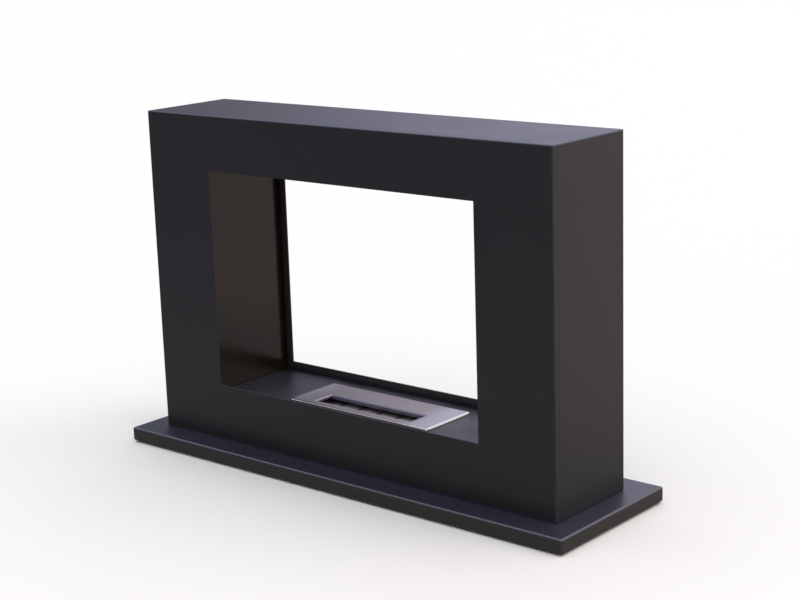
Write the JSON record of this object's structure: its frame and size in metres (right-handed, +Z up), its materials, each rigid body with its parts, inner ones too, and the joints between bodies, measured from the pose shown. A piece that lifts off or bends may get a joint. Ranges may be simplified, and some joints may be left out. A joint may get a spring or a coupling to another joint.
{
  "type": "bioethanol fireplace",
  "caption": "Free-standing see-through bioethanol fireplace: a rectangular portal of black sheet steel on a wider plinth, with a lift-out stainless burner and sliding shutter.",
  "frame": {"origin": "on the floor, under the middle of the plinth", "axes": "+X to the right along the width, +Y from the front to the rear, +Z up"},
  "size_m": [0.99, 0.295, 0.629],
  "materials": {
    "body_paint": "satin black powder coat",
    "plinth_paint": "satin black powder coat",
    "tunnel_paint": "heat-resistant satin black coat",
    "stainless": "brushed stainless steel",
    "tank_steel": "mill-finish stainless steel",
    "galvanised": "galvanised sheet",
    "zinc": "zinc-plated fasteners",
    "rubber": "matt black rubber",
    "ceramic_fibre": "soft ceramic fibre"
  },
  "bodies": {
    "frame": {"front_fascia": "body_paint", "rear_fascia": "body_paint", "left_side_panel": "body_paint", "right_side_panel": "body_paint", "top_panel": "body_paint", "base_pan": "body_paint", "corner_post_front_left": "galvanised", "corner_post_front_right": "galvanised", "corner_post_rear_left": "galvanised", "corner_post_rear_right": "galvanised", "tunnel_wall_left": "tunnel_paint", "tunnel_wall_right": "tunnel_paint", "hearth_plate": "tunnel_paint", "lintel_plate": "tunnel_paint", "heat_shield": "galvanised", "spill_tray": "tank_steel", "plinth_tray": "plinth_paint", "plinth_channel_left": "galvanised", "plinth_channel_right": "galvanised", "rubber_feet": "rubber", "foot_studs": "zinc", "foot_nuts": "zinc", "body_bolts": "zinc", "body_nuts": "zinc"},
    "burner": {"burner_cover": "stainless", "fuel_tank": "tank_steel", "ceramic_wool": "ceramic_fibre", "wool_grid": "tank_steel", "shutter_rail_left": "tank_steel", "shutter_rail_right": "tank_steel"},
    "shutter": {"shutter": "stainless"}
  },
  "joints": [
    {"name": "burner_lift", "type": "slide", "parent": "frame", "child": "burner", "axis": [0, 0, 1], "range_m": [0, 0.1]},
    {"name": "shutter_slide", "type": "slide", "parent": "burner", "child": "shutter", "axis": [0, -1, 0], "range_m": [0, 0.0386]}
  ]
}
